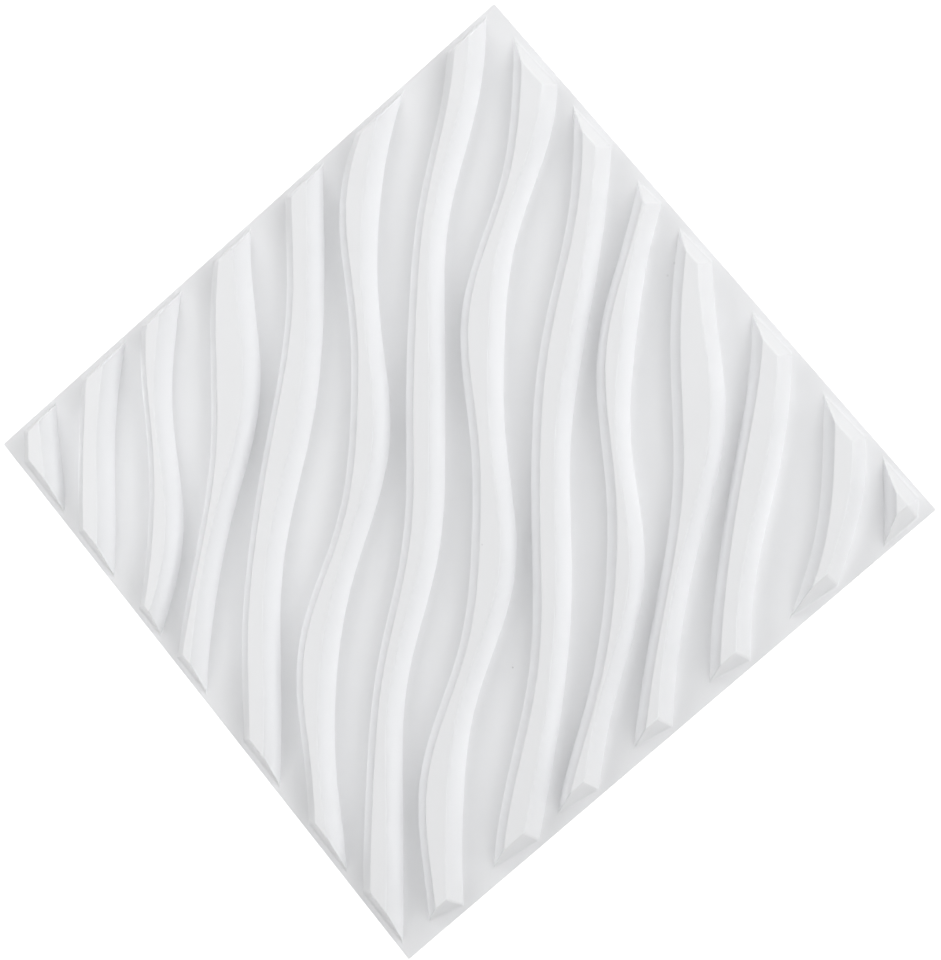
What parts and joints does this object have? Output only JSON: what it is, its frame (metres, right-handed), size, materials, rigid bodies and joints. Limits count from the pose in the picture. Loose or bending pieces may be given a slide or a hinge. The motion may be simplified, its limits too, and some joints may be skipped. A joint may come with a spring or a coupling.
{
  "type": "3d wall panel tile",
  "caption": "Square wall panel tile formed from one thin plastic sheet, with wavy flat-topped ridges along its diagonal, sloped ends, a flat lip and an open hollow back.",
  "frame": {"origin": "middle of the panel's square, on the plane of its flat back", "axes": "+Z out of the relief face, X and Y along the panel's sides; the ridges run along the diagonal from (+X, -Y) to (-X, +Y)"},
  "size_m": [0.5, 0.5, 0.022],
  "materials": {
    "panel_plastic": "matte white"
  },
  "bodies": {
    "root": {"wall_panel": "panel_plastic"}
  },
  "joints": []
}
